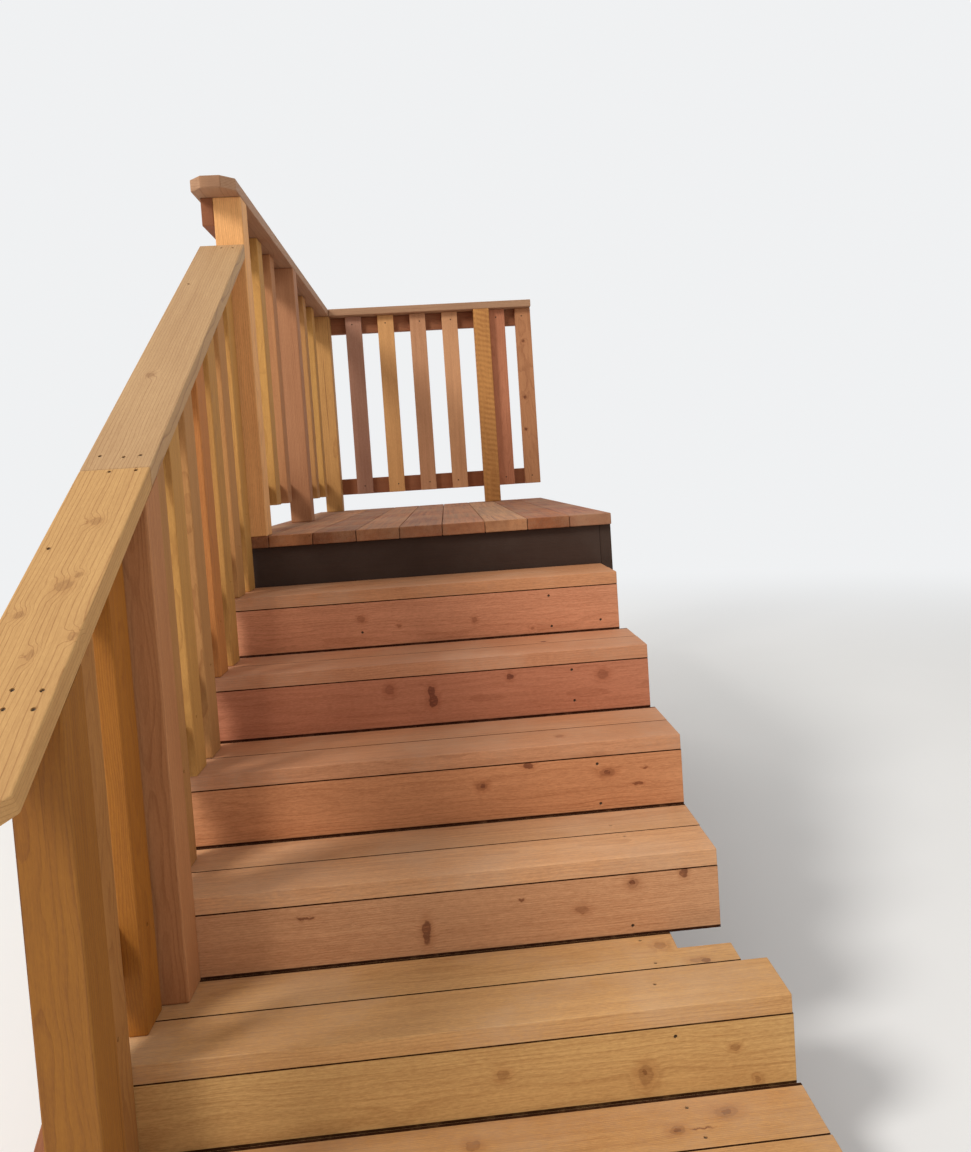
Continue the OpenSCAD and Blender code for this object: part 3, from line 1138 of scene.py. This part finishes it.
def sloping_cap_screws(solid, rng):
    """Screws in the top of the stair cap, where the photograph shows them."""
    start, stop = reach_of(solid, 1)
    inside = [spot for spot in SEEN_CAP_SCREWS if start < ORIGIN.y + spot[1] < stop]
    return [(cap_top(*spot), OFF_SLOPE) for spot in inside]


def post_pairs(posts, sideways):
    """Pairs of spots over each post, set apart along or across."""
    spots = []
    for post in posts:
        for side in (-1, 1):
            spot = post.copy()
            spot[sideways] += side * SCREW_EDGE
            spots.append(spot)
    return spots


def rail_end_spots(node, posts, along):
    """Two screws, one over the other, where a level rail crosses each post."""
    spots = []
    for post in posts:
        for side in (-1, 1):
            spot = middle(node)
            spot[along] = post[along]
            spot.z += side * SCREW_EDGE
            spots.append(spot)
    return spots


def sloping_rail_screws(line):
    def screws(solid, rng):
        face = reach_of(solid, 0)[0]
        found = []
        for post in SLOPE_POSTS:
            for side in (-1, 1):
                y = min(post.y, reach_of(solid, 1)[1] - SCREW_EDGE) + jitter(rng)
                found.append((Vector((face, y, line(y) + side * SCREW_EDGE)), LEFT))
        return found

    return screws


# Places along the landing of the boards that carry the deck
JOIST_LINES = [
    low("front_rim").y + BOARD / 2,
    *(centre_of(joist).y for joist in solids_of("landing_joists")),
    high("back_rim").y - BOARD / 2,
]


def side_rim_spots(node):
    """Three nails in a side rim at each joist."""
    return [
        Vector((0.0, y, middle(node).z + step * NAIL_STEP))
        for y in JOIST_LINES
        for step in (-1, 0, 1)
    ]


def end_rim_spots(node):
    """Three nails in the front or back rim near each end."""
    start, stop = low(node), high(node)
    return [
        Vector((x, 0.0, middle(node).z + step * NAIL_STEP))
        for x in (start.x + BOARD / 2, stop.x - BOARD / 2)
        for step in (-1, 0, 1)
    ]


# The stairs


def lowest_edge(k):
    """Picks the edges at the foot of a riser, which meet the tread below."""
    return lambda edge: all(v.co.z < (k - 1) * RISE + BOARD / 2 for v in edge.verts)


def back_top_edge(k):
    """Picks the upper back edge of a tread, which meets the riser above."""
    back, top = ORIGIN.y + (k + 1 - STEPS) * GOING, k * RISE

    def lies_there(vert):
        return abs(vert.co.y - back) < SAME_EDGE and abs(vert.co.z - top) < SAME_EDGE

    return lambda edge: all(lies_there(v) for v in edge.verts)


for k in range(1, STEPS + 1):
    make_node(
        f"tread_{k}",
        TREAD_WOOD,
        boards(TREAD_COLOURS[k]),
        tread_screws(k),
        edge=STEP_EASED_EDGE,
        trimmed=True,
        keep_sharp=back_top_edge(k),
    )
    make_node(
        f"riser_{k}",
        RISER_WOOD,
        boards(RISER_COLOURS[k]),
        riser_screws(k),
        edge=STEP_EASED_EDGE,
        trimmed=True,
        drop=RISER_DROP if k > 1 else 0.0,
        keep_sharp=lowest_edge(k),
    )
for name in ("stringer_left", "stringer_middle", "stringer_right", "landing_joists"):
    make_node(name, FRAME_WOOD, boards((172, 122, 82), spread=0.1))
for name in ("leg_front_left", "leg_front_right", "leg_back_left", "leg_back_right"):
    make_node(name, FRAME_WOOD, boards((166, 116, 74), spread=0.1), edge=POST_EASED_EDGE)

RIM_COLOURS = boards((62, 45, 36), spread=0.1)
for name, nails in (
    ("front_rim", None),
    ("back_rim", face_screws(end_rim_spots("back_rim"), BACK)),
    ("left_rim", face_screws(side_rim_spots("left_rim"), LEFT)),
    ("right_rim", face_screws(side_rim_spots("right_rim"), RIGHT)),
):
    make_node(name, RIM_WOOD, RIM_COLOURS, nails)
make_node(
    "landing_deck",
    DECK_WOOD,
    boards(*DECK_COLOURS),
    deck_screws,
    trimmed=True,
)

for name, colour in (
    ("stair_post_lower", BROWN),
    ("stair_post_upper", ROSE),
    ("corner_post", (220, 164, 104)),
    ("landing_mid_post", (166, 116, 80)),
    ("back_corner_post", (184, 136, 78)),
):
    make_node(name, POST_WOOD, boards(colour, spread=0.02), edge=POST_EASED_EDGE)
make_node("back_rail_post", CURLY_WOOD, boards((182, 128, 70)), edge=POST_EASED_EDGE)

RAIL_COLOURS = boards((146, 92, 60))
for name, line in zip(("stair_top_rail", "stair_bottom_rail"), SLOPING_RAILS):
    make_node(name, RAIL_WOOD, RAIL_COLOURS, sloping_rail_screws(line))
for name in ("landing_top_rail", "landing_bottom_rail"):
    spots = rail_end_spots(name, LEVEL_POSTS, 1)
    make_node(name, RAIL_WOOD, RAIL_COLOURS, face_screws(spots, LEFT))
for name in ("back_top_rail", "back_bottom_rail"):
    spots = rail_end_spots(name, [middle("back_corner_post"), middle("back_rail_post")], 0)
    make_node(name, RAIL_WOOD, RAIL_COLOURS, face_screws(spots, BACK))

make_node(
    "stair_balusters",
    PICKET_WOOD,
    boards((164, 114, 60), (162, 102, 32), TAN, GOLD, TAN, ORANGE, GOLD, TAN, GOLD),
    baluster_screws(SLOPING_RAILS, RIGHT),
)
make_node(
    "front_bay_balusters",
    PICKET_WOOD,
    boards(TAN, GOLD, ROSE),
    baluster_screws(LANDING_RAILS, RIGHT),
)
make_node(
    "back_bay_balusters",
    PICKET_WOOD,
    boards(ROSE, TAN, GOLD),
    baluster_screws(LANDING_RAILS, RIGHT),
)
BACK_BALUSTER_COLOURS = (
    (170, 125, 102),
    (207, 156, 100),
    (186, 138, 102),
    (203, 152, 110),
    (178, 116, 84),
    (180, 126, 86),
)
make_node(
    "back_balusters_set",
    PICKET_WOOD,
    boards(*BACK_BALUSTER_COLOURS),
    baluster_screws(BACK_RAILS, FRONT),
)

make_node(
    "stair_cap",
    CAP_WOOD,
    boards((188, 147, 94), (178, 144, 104), spread=0.02),
    sloping_cap_screws,
    splintered=True,
    hearts=((0.09, -0.07), (-0.15, -0.05)),
)
CAP_COLOURS = boards((166, 128, 98), spread=0.02)
landing_cap_spots = post_pairs(LEVEL_POSTS, 0)
make_node("landing_cap", CAP_WOOD, CAP_COLOURS, face_screws(landing_cap_spots, UP))
past_corner = middle("back_corner_post") + RIGHT * CORNER_CLEAR
back_cap_spots = post_pairs([past_corner, middle("back_rail_post")], 1)
make_node("back_cap", CAP_WOOD, CAP_COLOURS, face_screws(back_cap_spots, UP))

# Stage: a pale floor that fades into the backdrop's colour far from the stairs

BACKDROP = (0.87, 0.88, 0.89, 1.0)
FLOOR_COLOUR = (0.88, 0.88, 0.87, 1.0)
FLOOR_RADIUS = 60.0
FLOOR_SIDES = 96
FLOOR_FADE = (2.5, 9.0)
FLOOR_CLOUDS = 0.25
FLOOR_CLOUD_SCALE = 3.0
DARKER_FLOOR = (0.8272, 0.8272, 0.8178, 1.0)
AMBIENT = (1.0, 0.985, 0.97, 1.0)
AMBIENT_STRENGTH = 0.5
LIT_PLACE = Vector((0.0, -0.3, 1.0))


def floor_paint():
    g = Graph("floor_paint")
    flat = g.vector("MULTIPLY", g.object_place(), (1.0, 1.0, 0.0))
    away = g.ramp(g.vector("LENGTH", flat), *FLOOR_FADE)
    clouds = g.noise(g.object_place(), FLOOR_CLOUD_SCALE, 3.0)
    diffuse = g.node("ShaderNodeBsdfDiffuse")
    paint = g.mix(g.mul(clouds, FLOOR_CLOUDS), FLOOR_COLOUR, DARKER_FLOOR)
    g.plug(paint, diffuse.inputs["Color"])
    glow = g.node("ShaderNodeEmission")
    glow.inputs["Color"].default_value = BACKDROP
    blend = g.node("ShaderNodeMixShader")
    g.plug(away, blend.inputs[0])
    g.plug(diffuse.outputs[0], blend.inputs[1])
    g.plug(glow.outputs[0], blend.inputs[2])
    g.plug(blend.outputs[0], g.out.inputs[0])
    return g.material


def make_floor():
    disc = bmesh.new()
    bmesh.ops.create_circle(disc, cap_ends=True, segments=FLOOR_SIDES, radius=FLOOR_RADIUS)
    floor = object_from(disc, "floor")
    disc.free()
    floor.data.materials.append(floor_paint())


def make_world():
    """Soft light from all round, with the backdrop's colour where the camera looks."""
    world = bpy.data.worlds.new("studio")
    bpy.context.scene.world = world
    world.use_nodes = True
    tree = world.node_tree
    tree.nodes.clear()
    path = tree.nodes.new("ShaderNodeLightPath")
    seen = tree.nodes.new("ShaderNodeMath")
    seen.operation = "MAXIMUM"
    tree.links.new(path.outputs["Is Camera Ray"], seen.inputs[0])
    tree.links.new(path.outputs["Is Glossy Ray"], seen.inputs[1])
    ambient = tree.nodes.new("ShaderNodeBackground")
    ambient.inputs["Color"].default_value = AMBIENT
    ambient.inputs["Strength"].default_value = AMBIENT_STRENGTH
    pale = tree.nodes.new("ShaderNodeBackground")
    pale.inputs["Color"].default_value = BACKDROP
    blend = tree.nodes.new("ShaderNodeMixShader")
    tree.links.new(seen.outputs[0], blend.inputs[0])
    tree.links.new(ambient.outputs[0], blend.inputs[1])
    tree.links.new(pale.outputs[0], blend.inputs[2])
    output = tree.nodes.new("ShaderNodeOutputWorld")
    tree.links.new(blend.outputs[0], output.inputs[0])


def soft_light(name, place, size, power, colour=(1.0, 0.98, 0.95)):
    lamp = bpy.data.lights.new(name, "AREA")
    lamp.shape = "DISK"
    lamp.size = size
    lamp.energy = power
    lamp.color = colour
    obj = bpy.data.objects.new(name, lamp)
    bpy.context.scene.collection.objects.link(obj)
    obj.location = place
    obj.rotation_mode = "QUATERNION"
    obj.rotation_quaternion = (LIT_PLACE - Vector(place)).to_track_quat("-Z", "Y")


make_floor()
make_world()
soft_light("key", (-5.2, -4.8, 6.4), size=2.6, power=500)
soft_light("fill", (5.5, -4.0, 3.5), size=4.0, power=60, colour=(0.96, 0.98, 1.0))
soft_light("back", (-1.0, 6.5, 5.5), size=4.0, power=160)


def make_camera():
    cy, sy = math.cos(CAMERA_YAW), math.sin(CAMERA_YAW)
    cp, sp = math.cos(CAMERA_PITCH), math.sin(CAMERA_PITCH)
    cr, sr = math.cos(CAMERA_ROLL), math.sin(CAMERA_ROLL)
    forward = Vector((sy * cp, cy * cp, sp))
    level = Vector((cy, -sy, 0.0))
    upright = level.cross(forward)
    right = cr * level + sr * upright
    up = -sr * level + cr * upright
    lens = bpy.data.cameras.new("camera")
    camera = bpy.data.objects.new("camera", lens)
    bpy.context.scene.collection.objects.link(camera)
    turn = Matrix((right, up, -forward)).transposed().to_4x4()
    camera.matrix_world = Matrix.Translation(at(*CAMERA_PLACE)) @ turn
    long_side = max(PHOTO_WIDTH, PHOTO_HEIGHT)
    lens.sensor_fit = "AUTO"
    lens.sensor_width = SENSOR_WIDTH
    lens.lens = FOCAL_PIXELS * SENSOR_WIDTH / long_side
    lens.shift_x = (PHOTO_WIDTH / 2 - CENTRE_PIXEL[0]) / long_side
    lens.shift_y = (CENTRE_PIXEL[1] - PHOTO_HEIGHT / 2) / long_side
    lens.clip_end = FARTHEST_SEEN
    bpy.context.scene.camera = camera


make_camera()
bpy.context.scene.view_settings.view_transform = "Standard"
